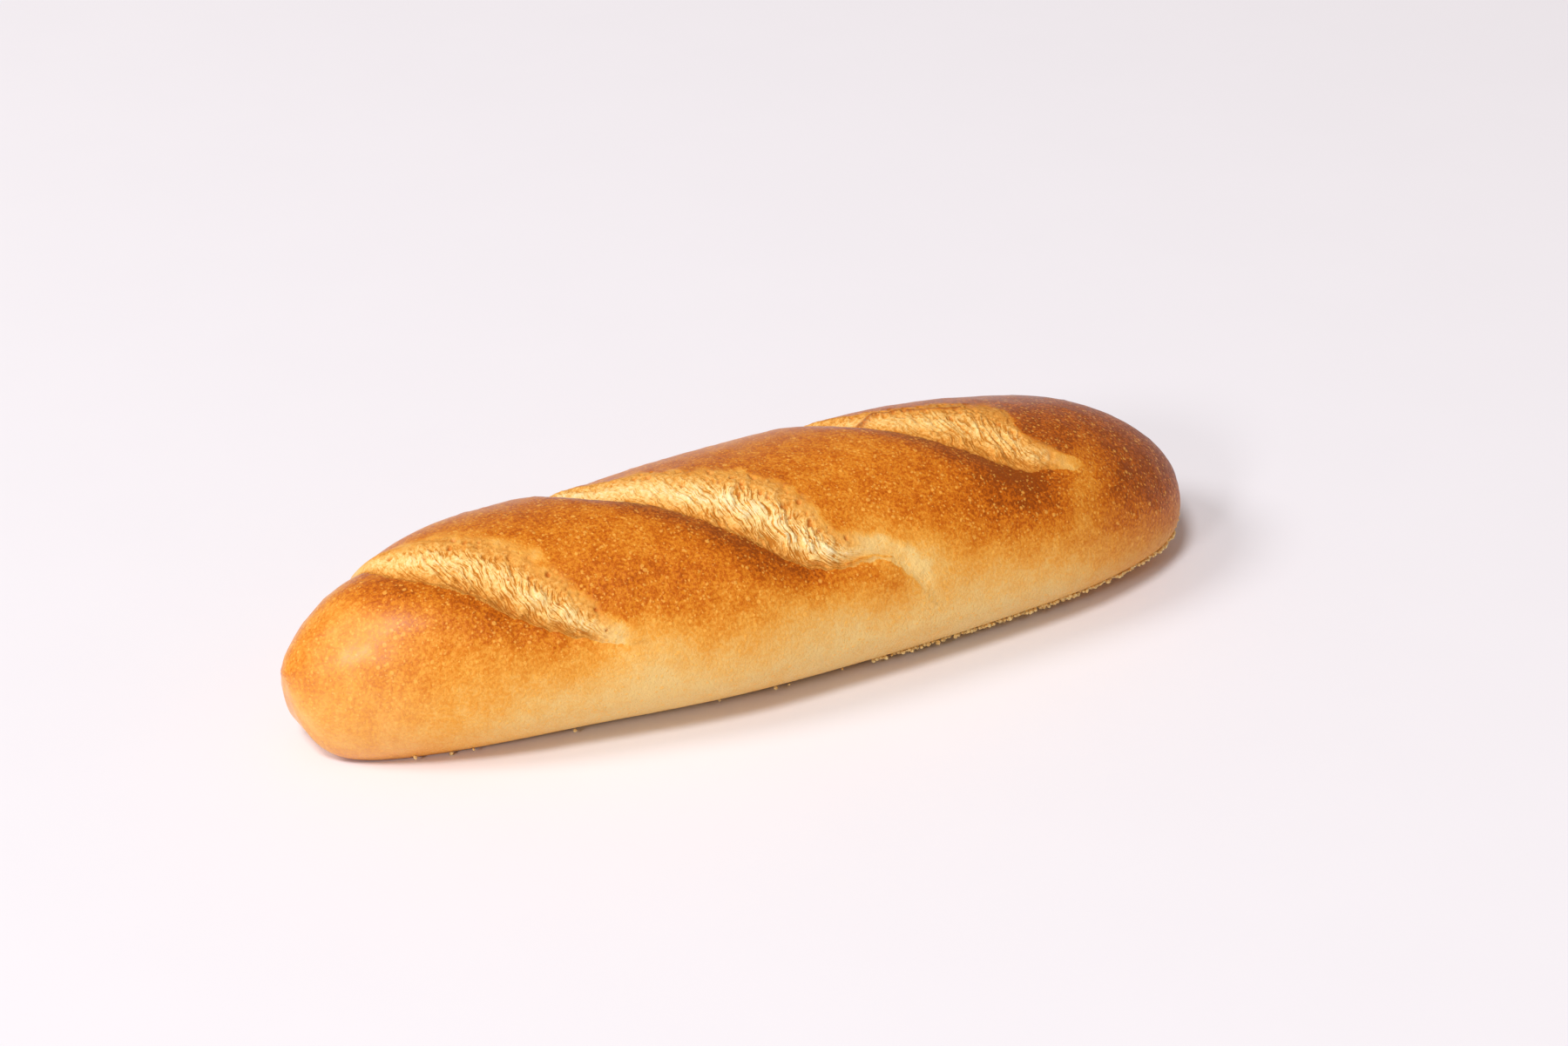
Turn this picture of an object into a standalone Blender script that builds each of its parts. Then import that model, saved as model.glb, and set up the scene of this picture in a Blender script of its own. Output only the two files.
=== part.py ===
"""A hoagie roll: one long loaf on a flat base, with three slashes that tore open in the oven.

The loaf lies along X with its origin under its middle. A point of the crust has two coordinates:
t runs along the loaf, from -1 at the pointed end to 1 at the blunt end, and u runs round each
section, from 0 on the ridge, over 0.5 at the widest height and 0.75 at the base's edge, to 1 in
the middle of the base. The slashes are drawn on the crust laid flat: x along the loaf, and g
round it from the ridge, plus towards -Y.
"""

from collections import namedtuple

import bmesh
import bpy
import numpy as np
from mathutils import Vector, noise

# The loaf, in metres
LENGTH = 0.200
WIDTH = 0.0628
HEIGHT = 0.0400
WIDEST_SHARE = 0.361
CROWN_ROUNDING = 0.06

# The flanks tuck in below the widest height, a little more round one place near the pointed end
BASE_TUCK = 0.40
TUCK_POWER = 2.3
MORE_TUCK, MORE_TUCK_AT, MORE_TUCK_REACH = 0.07, -0.46, 0.28

# The base lifts towards the blunt end, and the loaf's middle bows towards -Y
BASE_LIFT = 0.0010
LIFT_FROM, LIFT_FULL, LIFT_MOST = 0.22, 0.88, 0.85
BOW = -0.0040

# Where u has reached the widest height, and the base's edge
WIDEST, BASE_EDGE = 0.50, 0.75

# How each end closes: the height of its tip, and the powers and roots of its plan and crown
End = namedtuple("End", "tip plan plan_root crown crown_root")
POINTED_END = End(tip=0.0174, plan=1.92, plan_root=2.02, crown=5.6, crown_root=1.20)
BLUNT_END = End(tip=0.0137, plan=4.1, plan_root=2.44, crown=3.02, crown_root=1.36)
BASE_POWER, BASE_ROOT = 25.0, 1.72
TIP_BLEND = 0.75

# The crust rises and sinks a little between the slashes
SWELL_HEIGHT = 0.0007
SWELL_SIZE = 0.030
SWELL_SEED = Vector((3.1, 7.7, 1.4))

# Places where it stands higher or lower than that, on the flat crust
Bulge = namedtuple("Bulge", "x g height reach")
BULGES = (
    Bulge(x=-0.063, g=-0.012, height=0.0010, reach=0.012),
    Bulge(x=-0.030, g=-0.014, height=-0.0012, reach=0.008),
    Bulge(x=0.027, g=-0.014, height=-0.0008, reach=0.007),
    Bulge(x=0.066, g=-0.010, height=-0.0009, reach=0.015),
)

# The slashes. The lip is a smooth curve through a few points of the flat crust, each with the
# width of the torn floor beside it and how far the lip has sunk there
LipPoint = namedtuple("LipPoint", "x g torn sink")
SLASHES = (
    (
        LipPoint(-0.0825, -0.0180, 0.0010, 0.0000),
        LipPoint(-0.0807, -0.0093, 0.0036, 0.0012),
        LipPoint(-0.0782, 0.0015, 0.0088, 0.0019),
        LipPoint(-0.0681, 0.0127, 0.0105, 0.0021),
        LipPoint(-0.0596, 0.0227, 0.0096, 0.0020),
        LipPoint(-0.0480, 0.0306, 0.0050, 0.0012),
        LipPoint(-0.0390, 0.0340, 0.0015, 0.0000),
    ),
    (
        LipPoint(-0.0385, -0.0300, 0.0030, 0.0000),
        LipPoint(-0.0380, -0.0190, 0.0065, 0.0024),
        LipPoint(-0.0335, -0.0075, 0.0078, 0.0027),
        LipPoint(-0.0251, 0.0018, 0.0095, 0.0024),
        LipPoint(-0.0146, 0.0140, 0.0130, 0.0025),
        LipPoint(-0.0045, 0.0255, 0.0108, 0.0022),
        LipPoint(0.0037, 0.0294, 0.0070, 0.0014),
        LipPoint(0.0142, 0.0302, 0.0045, 0.0008),
        LipPoint(0.0202, 0.0372, 0.0036, 0.0006),
        LipPoint(0.0232, 0.0430, 0.0012, 0.0000),
    ),
    (
        LipPoint(0.0205, -0.0310, 0.0020, 0.0000),
        LipPoint(0.0230, -0.0190, 0.0045, 0.0021),
        LipPoint(0.0285, -0.0078, 0.0060, 0.0022),
        LipPoint(0.0412, 0.0066, 0.0142, 0.0023),
        LipPoint(0.0521, 0.0162, 0.0125, 0.0020),
        LipPoint(0.0600, 0.0178, 0.0050, 0.0011),
        LipPoint(0.0700, 0.0190, 0.0010, 0.0000),
    ),
)
LIP_STEPS = 8
DOME_REACH = 0.0100
DOME_POWER = 2.2
FLOOR_POWER = 1.4

# Under the lip the torn floor drops by this share of the lip's own sinking, over this width
DROP_SHARE = 0.8
DROP_WIDTH = 0.0012

# Torn strands of crumb across the floor of a slash, full where the lip has sunk this far
STRAND_PITCH = 0.0042
STRAND_HEIGHT = 0.0005
STRAND_SHEAR = 0.015
STRAND_BEND = 0.6
STRAND_SWAY = 2.5
STRAND_SWAY_SIZE = 0.0071
STRAND_SINK = 0.0020

# The mesh: a box of quads, drawn onto the loaf. It is cut finer this near a lip on the domed side
# and on the torn side, and then once more
RINGS = 58
SIDES = 14
CAP_SHARE = 0.13
CAP_POWER = 9
LIP_PULL = 0.0009
FINER_ZONES = ((0.0045, 0.0200), (0.0014, 0.0026))

# The relief fades out over this much of u above the base's edge
EDGE_EASE = 0.15

CRUST_COLOUR = (0.56, 0.27, 0.07, 1.0)
CRUST_ROUGHNESS = 0.48


def clear_scene():
    for obj in list(bpy.data.objects):
        bpy.data.objects.remove(obj, do_unlink=True)


def by_end(t, name):
    """The value of one of the ends' numbers at t: the pointed end's below 0, the blunt end's above."""
    return np.where(t < 0, getattr(POINTED_END, name), getattr(BLUNT_END, name))


def rounded(share):
    """Eases a share from 0 to 1 so that it leaves 0 as a circle leaves its edge."""
    full = np.sqrt(1 + 2 * CROWN_ROUNDING)
    return np.sqrt(share * share + 2 * CROWN_ROUNDING * share) / full


def section(t):
    """Half width, and the heights of crown, widest point and base, of the section at t."""
    reach = np.clip(np.abs(t), 0, 1)
    plan = (1 - reach ** by_end(t, "plan")) ** (1 / by_end(t, "plan_root"))
    crown = (1 - reach ** by_end(t, "crown")) ** (1 / by_end(t, "crown_root"))
    blunter = np.clip(0.5 + TIP_BLEND * t, 0, 1)
    tip = POINTED_END.tip + (BLUNT_END.tip - POINTED_END.tip) * blunter
    top = tip + (HEIGHT - tip) * rounded(crown)
    base = tip * (1 - (1 - reach**BASE_POWER) ** (1 / BASE_ROOT))
    widest = base + WIDEST_SHARE * (top - base)
    return WIDTH / 2 * plan, top, widest, base


def girth(t):
    """Length of crust from the ridge to the middle of the base, for the crust laid flat."""
    half, top, widest, _ = section(t)
    return np.pi * (half + top - widest) / 2


def on_loaf(t, u, side):
    """Points of the smooth loaf; side is -1 or 1 for the -Y or +Y half."""
    half, top, widest, base = section(t)
    angle = np.clip(u / WIDEST, 0, 1) * np.pi / 2
    down = np.clip((u - WIDEST) / (BASE_EDGE - WIDEST), 0, 1)
    under = np.clip((u - BASE_EDGE) / (1 - BASE_EDGE), 0, 1)
    tuck = BASE_TUCK + MORE_TUCK * np.exp(-(((t - MORE_TUCK_AT) / MORE_TUCK_REACH) ** 2))
    y = half * np.sin(angle) * (1 - tuck * down**TUCK_POWER) * (1 - under)
    above = widest + (top - widest) * np.cos(angle)
    below = widest + (base - widest) * down
    lift = BASE_LIFT * np.clip((t - LIFT_FROM) / (LIFT_FULL - LIFT_FROM), 0, LIFT_MOST) ** 2
    z = np.where(u <= WIDEST, above, below) + lift
    return np.stack([t * LENGTH / 2, side * y + BOW * (1 - t * t), z], axis=-1)


def lip_points(slash):
    """The lip's points as rows of x, g, torn and sink: a smooth curve through its own points."""
    own = np.array(slash)
    own = np.vstack([2 * own[0] - own[1], own, 2 * own[-1] - own[-2]])
    s = np.linspace(0, 1, LIP_STEPS, endpoint=False)[:, None]
    runs = []
    for before, here, there, after in zip(own, own[1:], own[2:], own[3:]):
        runs.append(here + s * (there - before) / 2)
        runs[-1] += s**2 * (2 * before - 5 * here + 4 * there - after) / 2
        runs[-1] += s**3 * (3 * here - before - 3 * there + after) / 2
    return np.vstack(runs + [own[-2:-1]])


def beside_lip(slash, x, g):
    """What flat points are to a slash, as a dictionary.

    run is the distance along the lip, inside tells whether that is between its ends, across is the
    distance from it, plus on the torn side, torn and sink are the lip's there, and heading is its way.
    """
    lip = lip_points(slash)
    steps = np.diff(lip, axis=0)
    lengths = np.linalg.norm(steps[:, :2], axis=1)
    starts = np.concatenate([[0], np.cumsum(lengths)])
    flat = np.stack([x, g], axis=-1)
    best = np.full(x.shape, np.inf)
    found = {name: np.zeros(x.shape) for name in ("run", "across", "torn", "sink")}
    heading = np.zeros(flat.shape)
    for i, (corner, change, length) in enumerate(zip(lip, steps, lengths)):
        away = flat - corner[:2]
        way = change[:2] / length
        low = -np.inf if i == 0 else 0
        high = np.inf if i == len(steps) - 1 else 1
        held = np.clip(away @ way / length, low, high)
        miss = np.linalg.norm(away - held[..., None] * change[:2], axis=-1)
        side = np.where(away[..., 0] * way[1] < away[..., 1] * way[0], -miss, miss)
        nearer = miss < best
        best = np.where(nearer, miss, best)
        share = np.clip(held, 0, 1)
        torn, sink = (corner[n] + share * change[n] for n in (2, 3))
        for name, value in zip(found, (starts[i] + held * length, side, torn, sink)):
            found[name] = np.where(nearer, value, found[name])
        heading = np.where(nearer[..., None], way, heading)
    inside = (found["run"] > 0) & (found["run"] < starts[-1])
    return {**found, "heading": heading, "inside": inside}


def slash_depth(beside):
    """How far the crust sinks beside a lip: domed on one side, a drop and a torn slope on the other."""
    across, sink = beside["across"], beside["sink"]
    dome = np.clip(1 + across / DOME_REACH, 0, 1) ** DOME_POWER
    drop = 1 + DROP_SHARE * np.clip(across / DROP_WIDTH, 0, 1)
    floor = drop * np.clip(1 - across / beside["torn"], 0, 1) ** FLOOR_POWER
    return beside["inside"] * sink * np.where(across < 0, dome, floor)


def strands(beside):
    """Height of the torn strands, which lean along the lip as they come down to it."""
    share = np.clip(beside["across"] / beside["torn"], 0, 1)
    lean = beside["run"] - STRAND_SHEAR * (1 - share) * (1 - STRAND_BEND * share)
    height = np.sin(2 * np.pi * lean / STRAND_PITCH + STRAND_SWAY * np.sin(lean / STRAND_SWAY_SIZE))
    grown = np.clip(beside["sink"] / STRAND_SINK, 0, 1) * beside["inside"]
    return STRAND_HEIGHT * height * grown * np.sin(np.pi * share) ** 2


def near_lips(x, g, dome_side, torn_side):
    """Whether flat points lie this near a lip on each side, and no further than its torn floor."""
    found = np.zeros(x.shape, bool)
    for slash in SLASHES:
        beside = beside_lip(slash, x, g)
        reach = np.minimum(torn_side, beside["torn"])
        found |= beside["inside"] & (beside["across"] > -dome_side) & (beside["across"] < reach)
    return found


def box_coordinates(points):
    """The loaf's t, u and side of points on a box that reaches from -1 to 1."""
    x, y, z = points.T
    rim = np.maximum(np.maximum(np.abs(y), np.abs(z)), 1e-9)
    tau = x * (1 - CAP_SHARE * rim)
    t = (tau - tau**CAP_POWER / CAP_POWER) * CAP_POWER / (CAP_POWER - 1)
    across, up = np.abs(y) / rim, z / rim
    flank = WIDEST - (BASE_EDGE - WIDEST) * up
    top, under = across * WIDEST / 2, 1 - across * (1 - BASE_EDGE)
    u = np.where(across >= np.abs(up), flank, np.where(up > 0, top, under))
    return t, u, np.where(y > 0, 1.0, -1.0)


def flat_of(t, u, side):
    return t * LENGTH / 2, -side * u * girth(t)


def drawn_to_lips(x, g):
    """Flat points near a lip moved closer to it, so that the mesh follows its crease."""
    for slash in SLASHES:
        beside = beside_lip(slash, x, g)
        pull = np.clip(1 - np.abs(beside["across"]) / LIP_PULL, 0, 1) * beside["inside"]
        shift = pull * beside["across"]
        x = x - shift * beside["heading"][:, 1]
        g = g + shift * beside["heading"][:, 0]
    return x, g


def swell(points, x, g):
    """How far the crust stands off the smooth loaf between the slashes."""
    height = np.array([SWELL_HEIGHT * noise.noise(Vector(p) / SWELL_SIZE + SWELL_SEED) for p in points])
    for bulge in BULGES:
        away = ((x - bulge.x) ** 2 + (g - bulge.g) ** 2) / bulge.reach**2
        height += bulge.height * np.exp(-away)
    return height


def box_of_quads(bm):
    """A box from -1 to 1 whose sides are grids, cut finer in the slashes and again at the lips."""
    bmesh.ops.create_cube(bm, size=2)
    lengthwise = [e for e in bm.edges if abs(e.verts[0].co.x - e.verts[1].co.x) > 1]
    bmesh.ops.subdivide_edges(bm, edges=lengthwise, cuts=RINGS - 1, use_grid_fill=True)
    crosswise = [e for e in bm.edges if abs(e.verts[0].co.x - e.verts[1].co.x) < 1e-6]
    bmesh.ops.subdivide_edges(bm, edges=crosswise, cuts=SIDES - 1, use_grid_fill=True)
    for dome_side, torn_side in FINER_ZONES:
        middles = np.array([f.calc_center_median() for f in bm.faces])
        x, g = flat_of(*box_coordinates(middles))
        chosen = near_lips(x, g, dome_side, torn_side)
        finer = {e for f, near in zip(bm.faces, chosen) if near for e in f.edges}
        bmesh.ops.subdivide_edges(bm, edges=list(finer), cuts=1, use_grid_fill=True)


def draw_onto_loaf(bm):
    """Moves the box's points onto the loaf, then sinks the slashes into it."""
    t, u, side = box_coordinates(np.array([v.co for v in bm.verts]))
    x, g = flat_of(t, u, side)
    nearer_x, nearer_g = drawn_to_lips(x, g)
    moved = (nearer_x != x) | (nearer_g != g)
    new_t = nearer_x / (LENGTH / 2)
    t = np.where(moved, new_t, t)
    side = np.where(moved, np.where(nearer_g > 0, -1.0, 1.0), side)
    u = np.where(moved, np.abs(nearer_g) / girth(t), u)
    points = on_loaf(t, u, side)
    for vert, point in zip(bm.verts, points):
        vert.co = point
    bm.normal_update()
    x, g = flat_of(t, u, side)
    height = swell(points, x, g)
    for slash in SLASHES:
        beside = beside_lip(slash, x, g)
        height += strands(beside) * (beside["across"] > 0) - slash_depth(beside)
    height *= np.clip((BASE_EDGE - u) / EDGE_EASE, 0, 1)
    for vert, rise in zip(bm.verts, height):
        vert.co += vert.normal * float(rise)


def stand_on_origin(bm):
    """Centres the finished loaf over the origin, with its base at height 0."""
    points = np.array([v.co for v in bm.verts])
    low, high = points.min(axis=0), points.max(axis=0)
    middle = Vector(((low[0] + high[0]) / 2, (low[1] + high[1]) / 2, low[2]))
    bmesh.ops.translate(bm, verts=bm.verts, vec=-middle)


def crust_material():
    material = bpy.data.materials.new("crust")
    material.use_nodes = True
    shader = material.node_tree.nodes["Principled BSDF"]
    shader.inputs["Base Color"].default_value = CRUST_COLOUR
    shader.inputs["Roughness"].default_value = CRUST_ROUGHNESS
    shader.inputs["Metallic"].default_value = 0.0
    return material


def make_roll():
    bm = bmesh.new()
    box_of_quads(bm)
    draw_onto_loaf(bm)
    stand_on_origin(bm)
    bmesh.ops.triangulate(bm, faces=bm.faces, quad_method="SHORT_EDGE")
    mesh = bpy.data.meshes.new("hoagie_roll")
    bm.to_mesh(mesh)
    bm.free()
    mesh.shade_smooth()
    mesh.materials.append(crust_material())
    roll = bpy.data.objects.new("hoagie_roll", mesh)
    bpy.context.scene.collection.objects.link(roll)
    return roll


clear_scene()
make_roll()
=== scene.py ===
"""The looks of the hoagie roll: its baked crust, the torn crumb in its slashes, and the semolina
under it.

The crust is drawn again from the sizes of the solid, on a finer mesh, with the strands, bubbles,
pores and cracks of the torn slashes as relief. Its attributes tell the material how browned the
crust is, with painted shade and a painted highlight in that, where it is glossy, where crumb shows
and how pale it is, with painted light and shade, and where a pore lies.
"""

from collections import namedtuple

import bmesh
import bpy
import numpy as np
from mathutils import Matrix, Vector, noise


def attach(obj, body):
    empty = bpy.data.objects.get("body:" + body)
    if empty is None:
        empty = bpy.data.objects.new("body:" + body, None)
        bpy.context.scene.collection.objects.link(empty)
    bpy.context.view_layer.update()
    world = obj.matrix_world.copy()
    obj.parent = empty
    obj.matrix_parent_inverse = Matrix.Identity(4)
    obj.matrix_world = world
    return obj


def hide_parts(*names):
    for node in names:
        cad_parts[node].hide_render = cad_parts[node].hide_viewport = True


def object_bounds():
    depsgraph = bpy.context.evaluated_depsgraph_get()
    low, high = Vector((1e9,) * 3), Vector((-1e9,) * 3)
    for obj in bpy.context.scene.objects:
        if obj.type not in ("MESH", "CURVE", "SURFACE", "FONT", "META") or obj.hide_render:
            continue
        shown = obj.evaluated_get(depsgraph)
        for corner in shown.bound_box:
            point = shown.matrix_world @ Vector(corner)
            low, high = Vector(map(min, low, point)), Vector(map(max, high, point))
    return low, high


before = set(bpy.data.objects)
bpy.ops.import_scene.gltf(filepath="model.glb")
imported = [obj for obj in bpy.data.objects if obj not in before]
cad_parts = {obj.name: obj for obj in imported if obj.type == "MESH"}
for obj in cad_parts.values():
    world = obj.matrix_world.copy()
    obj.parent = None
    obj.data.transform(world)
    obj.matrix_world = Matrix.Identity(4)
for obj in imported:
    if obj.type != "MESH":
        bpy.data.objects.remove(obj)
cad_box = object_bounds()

# The loaf, in metres, as the solid has it
LENGTH = 0.200
WIDTH = 0.0628
HEIGHT = 0.0400
WIDEST_SHARE = 0.361
BASE_TUCK = 0.40
MORE_TUCK, MORE_TUCK_AT, MORE_TUCK_REACH = 0.07, -0.46, 0.28
TUCK_POWER = 2.3
CROWN_ROUNDING = 0.06
BASE_LIFT = 0.0010
LIFT_FROM, LIFT_FULL, LIFT_MOST = 0.22, 0.88, 0.85
BOW = -0.0040

# Where u has reached the widest height, and the base's edge
WIDEST, BASE_EDGE = 0.50, 0.75
End = namedtuple("End", "tip plan plan_root crown crown_root")
POINTED_END = End(tip=0.0174, plan=1.92, plan_root=2.02, crown=5.6, crown_root=1.20)
BLUNT_END = End(tip=0.0137, plan=4.1, plan_root=2.44, crown=3.02, crown_root=1.36)
BASE_POWER, BASE_ROOT = 25.0, 1.72
TIP_BLEND = 0.75
SWELL_HEIGHT = 0.0007
SWELL_SIZE = 0.030
SWELL_SEED = Vector((3.1, 7.7, 1.4))

# Soft round places of the flat crust, x along the loaf and g from the ridge to the near side, where
# it stands higher or lower than that
Patch = namedtuple("Patch", "x g height reach")
BULGES = (
    Patch(x=-0.063, g=-0.012, height=0.0010, reach=0.012),
    Patch(x=-0.030, g=-0.014, height=-0.0012, reach=0.008),
    Patch(x=0.027, g=-0.014, height=-0.0008, reach=0.007),
    Patch(x=0.066, g=-0.010, height=-0.0009, reach=0.015),
)

# The slashes. The lip is a smooth curve through a few points of the flat crust, each with the
# width of the torn floor beside it and how far the lip has sunk there
LipPoint = namedtuple("LipPoint", "x g torn sink")
FIRST_SLASH = (
    LipPoint(-0.0825, -0.0180, 0.0010, 0.0000),
    LipPoint(-0.0807, -0.0093, 0.0036, 0.0012),
    LipPoint(-0.0782, 0.0015, 0.0088, 0.0019),
    LipPoint(-0.0681, 0.0127, 0.0105, 0.0021),
    LipPoint(-0.0596, 0.0227, 0.0096, 0.0020),
    LipPoint(-0.0480, 0.0306, 0.0050, 0.0012),
    LipPoint(-0.0390, 0.0340, 0.0015, 0.0000),
)
MIDDLE_SLASH = (
    LipPoint(-0.0385, -0.0300, 0.0030, 0.0000),
    LipPoint(-0.0380, -0.0190, 0.0065, 0.0024),
    LipPoint(-0.0335, -0.0075, 0.0078, 0.0027),
    LipPoint(-0.0251, 0.0018, 0.0095, 0.0024),
    LipPoint(-0.0146, 0.0140, 0.0130, 0.0025),
    LipPoint(-0.0045, 0.0255, 0.0108, 0.0022),
    LipPoint(0.0037, 0.0294, 0.0070, 0.0014),
    LipPoint(0.0142, 0.0302, 0.0045, 0.0006),
    LipPoint(0.0202, 0.0372, 0.0036, 0.0004),
    LipPoint(0.0232, 0.0430, 0.0012, 0.0000),
)
LAST_SLASH = (
    LipPoint(0.0205, -0.0310, 0.0020, 0.0000),
    LipPoint(0.0230, -0.0190, 0.0045, 0.0021),
    LipPoint(0.0285, -0.0078, 0.0060, 0.0022),
    LipPoint(0.0412, 0.0066, 0.0142, 0.0023),
    LipPoint(0.0521, 0.0162, 0.0125, 0.0020),
    LipPoint(0.0600, 0.0178, 0.0050, 0.0011),
    LipPoint(0.0700, 0.0190, 0.0010, 0.0000),
)
SLASHES = (FIRST_SLASH, MIDDLE_SLASH, LAST_SLASH)

# Points of a lip between two of its own, how far back and how roundly its dome bends down to it,
# and how roundly the torn floor rises again
LIP_STEPS = 8
DOME_REACH = 0.0100
DOME_POWER = 2.2
FLOOR_POWER = 1.4

# Under the lip the torn floor drops by this share of the lip's own sinking, over this width
DROP_SHARE = 0.8
DROP_WIDTH = 0.0012

# How each slash tore: its shares of pores and bubbles, the strength of its strands and how far
# along the lip they start, how pale its crumb is, up to which share of the torn width the crust
# above it is paler, and how much darker the lip is, as browner crust and painted shade where its
# dome bends away from the lamps
Tear = namedtuple("Tear", "pores bubbles strands strands_from pale fade browned")
TEARS = (
    Tear(pores=0.38, bubbles=0.9, strands=0.85, strands_from=0.016, pale=0.82, fade=1.50, browned=0.15),
    Tear(pores=0.70, bubbles=0.8, strands=1.00, strands_from=0.036, pale=0.98, fade=1.35, browned=0.24),
    Tear(pores=0.45, bubbles=1.0, strands=0.68, strands_from=0.032, pale=0.68, fade=1.30, browned=0.22),
)

# Torn crumb, with shares of the torn width: how far the lip has sunk where it starts and is full,
# how it starts at the lip, how ragged its far edge is and at what size, and where it ends
CRUMB_SINK = (0.0005, 0.0015)
CRUMB_START = (-0.0001, 0.0002)
RAGGED, RAGGED_SIZE = 0.22, 0.0035
RAGGED_TOO, RAGGED_TOO_SIZE = 0.14, 0.0012
CRUMB_END = (1.36, 0.94)
CRUMB_SIZE = 0.0007
CRUMB_HEIGHT = 0.00012

# Torn strands: fine ones on coarse ones, leaning along the lip as they come down to it. Each kind
# changes across the slope, and they come in clumps
STRAND_SHEAR = 0.015
STRAND_BEND = 0.6
STRAND_WARP = 0.0020
STRAND_WARP_SIZE = 0.004
STRAND_SHARPNESS = 2.6
COARSE_STRAND, COARSE_CHANGE = 0.0021, 1.6
COARSE_HEIGHT = 0.00072
FINE_STRAND, FINE_CHANGE = 0.0009, 3.4
FINE_HEIGHT = 0.00034
CLUMP_SIZE = 0.0032
CLUMP_EDGE = 0.35
CLUMP_LEAST = 0.2

# Their strength: where they start along the lip, where the lip has hardly sunk, and across the slope
STRANDS_GROW = 0.018
STRANDS_LEAST = 0.40
SHALLOW_SINK, SHALLOW_STRANDS = (0.0008, 0.0018), 0.25
STRANDS_ACROSS, STRANDS_ACROSS_START, STRANDS_ROUNDING = 0.80, 0.14, 0.8

# Bubbles of the crumb, fewer where it is stringy, and open pores along the slope's upper part
BUBBLE_SPACING = 0.0017
BUBBLE_DEPTH = 0.00045
BUBBLE_EDGE = (0.55, 0.15)
BUBBLE_LEAST = 0.3
STRINGY_FEWER, STRINGY_BELOW = 0.7, (0.9, 0.5)
PORE_SPACING = 0.0016
PORE_DEPTH = 0.00065
PORE_BAND_START, PORE_BAND_END = (0.40, 0.75), (1.32, 1.1)
PORES_BELOW, PORES_BELOW_FROM = 0.22, 0.1
PORE_RADIUS, PORE_RADIUS_MORE, PORE_RAGGED, PORE_RIM = 0.12, 0.40, 0.16, 0.45

# How pale the crumb is, from 0 to 1: the mean, with painted light on coarse and fine strands and
# loose crumbs and painted shade in bubbles, and how it browns up the slope, with painted shade in
# the fold under the lip
CRUMB_TONE = 0.72
COARSE_RIDGE_SHADING, FINE_RIDGE_SHADING, LOOSE_CRUMB_SHADING, BUBBLE_PAINTED_SHADE = 0.34, 0.24, 0.20, 0.34
BROWNER_UP, BROWNER_UP_FROM = 0.68, (0.46, 1.05)
FOLD_PAINTED_SHADE, FOLD_PAINTED_SHADE_FROM = 0.80, (0.50, 0.06)
HAIR_END = (1.0, 0.7)

# The lips wander this far from their smooth curves
LIP_WANDER = 0.0005
LIP_WANDER_SIZE = 0.0021

# Thin cracks with a raised brown edge, as curves of their own whose sink is half their width
CRACKS = (
    (
        LipPoint(0.0262, -0.0082, 0.0, 0.0014),
        LipPoint(0.0330, -0.0098, 0.0, 0.0006),
        LipPoint(0.0431, -0.0059, 0.0, 0.0005),
        LipPoint(0.0517, -0.0030, 0.0, 0.0004),
    ),
    (
        LipPoint(0.0060, 0.0288, 0.0, 0.0003),
        LipPoint(0.0120, 0.0288, 0.0, 0.0003),
        LipPoint(0.0160, 0.0300, 0.0, 0.0001),
    ),
)
CRACK_HEIGHT = 0.00035
CRACK_BROWNING = 0.42
CRACK_CLEARS = 0.8
CRACK_WANDER, CRACK_WANDER_SIZE = 0.0006, 0.0025
CRACK_LEAST_WIDTH = 0.0001

# Small wrinkles and blisters of the crust
WRINKLE_SIZE = 0.0045
WRINKLE_HEIGHT = 0.00010
FINER_WRINKLES, FINER_WRINKLE_SHARE = 2.1, 0.5
BLISTER_SPACING = 0.0042
BLISTER_HEIGHT = 0.00013
BLISTER_EDGE = (0.34, 0.08)
BLISTERS_MISSING = 0.35

# How browned the crust is, from 0 (pale) to 1 (dark), on the flank and on the top, and how that
# changes in t towards both ends, the blunt end and the pointed end. The blunt end's extra darkness is
# partly browner crust and partly painted shade, where that end faces away from the lamps
FLANK_BAKE, TOP_BAKE = 0.03, 0.70
BOTH_ENDS, BLUNT_END_PART, POINTED_END_PART = (0.45, 0.85), (0.15, 0.85), (-0.50, -0.95)
FLANK_AT_ENDS, FLANK_AT_BLUNT_END = 0.31, 0.08
TOP_AT_BLUNT_END, TOP_AT_POINTED_END = 0.25, 0.13

# Where in u the top's browning starts and is full, with a wavy border
TOP_FROM, TOP_FROM_AT_ENDS, TOP_FULL = 0.55, 0.08, 0.26
TOP_WAVE, TOP_WAVE_SIZE = 0.03, 0.012

# How much browner it is where the flank turns under, and on the base, short of the tips
UNDERCUT_BAKE, UNDERCUT = 0.10, (0.64, 0.72)
BASE_BAKE, BASE_PART, BASE_TIPS = 0.60, (0.735, 0.78), (0.96, 0.86)
BAKE_CLOUDS, BAKE_CLOUD_SIZE = 0.08, 0.018

# Beside a slash: the lip is darker over this much of its dome, browner and with painted shade where
# the dome bends away from the lamps, and the torn slope and the crust above it are paler up to a
# frayed border, both where the lip has sunk
LIP_DARKENING, LIP_DARKENING_SINK = (-0.0100, -0.0010), (0.0009, 0.0021)
PALE_FULL, PALE_SINK = 0.90, (0.0001, 0.0008)
PALER_CRUMB, PALER_CRUST = 0.24, 0.32
FRAYING, FRAYING_SIZE = 0.26, 0.0028

# Gloss: a little everywhere, more at the pointed end below its ridge, and on the far side
LEAST_GLOSS = 0.06
GLOSSY_END, GLOSSY_BELOW, RIDGE_GLOSS = (-0.74, -0.88), (0.12, 0.24), 0.15
FAR_GLOSS, FAR_SIDE, FAR_END = 0.7, (0.006, -0.008), (0.95, 0.70)
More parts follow.
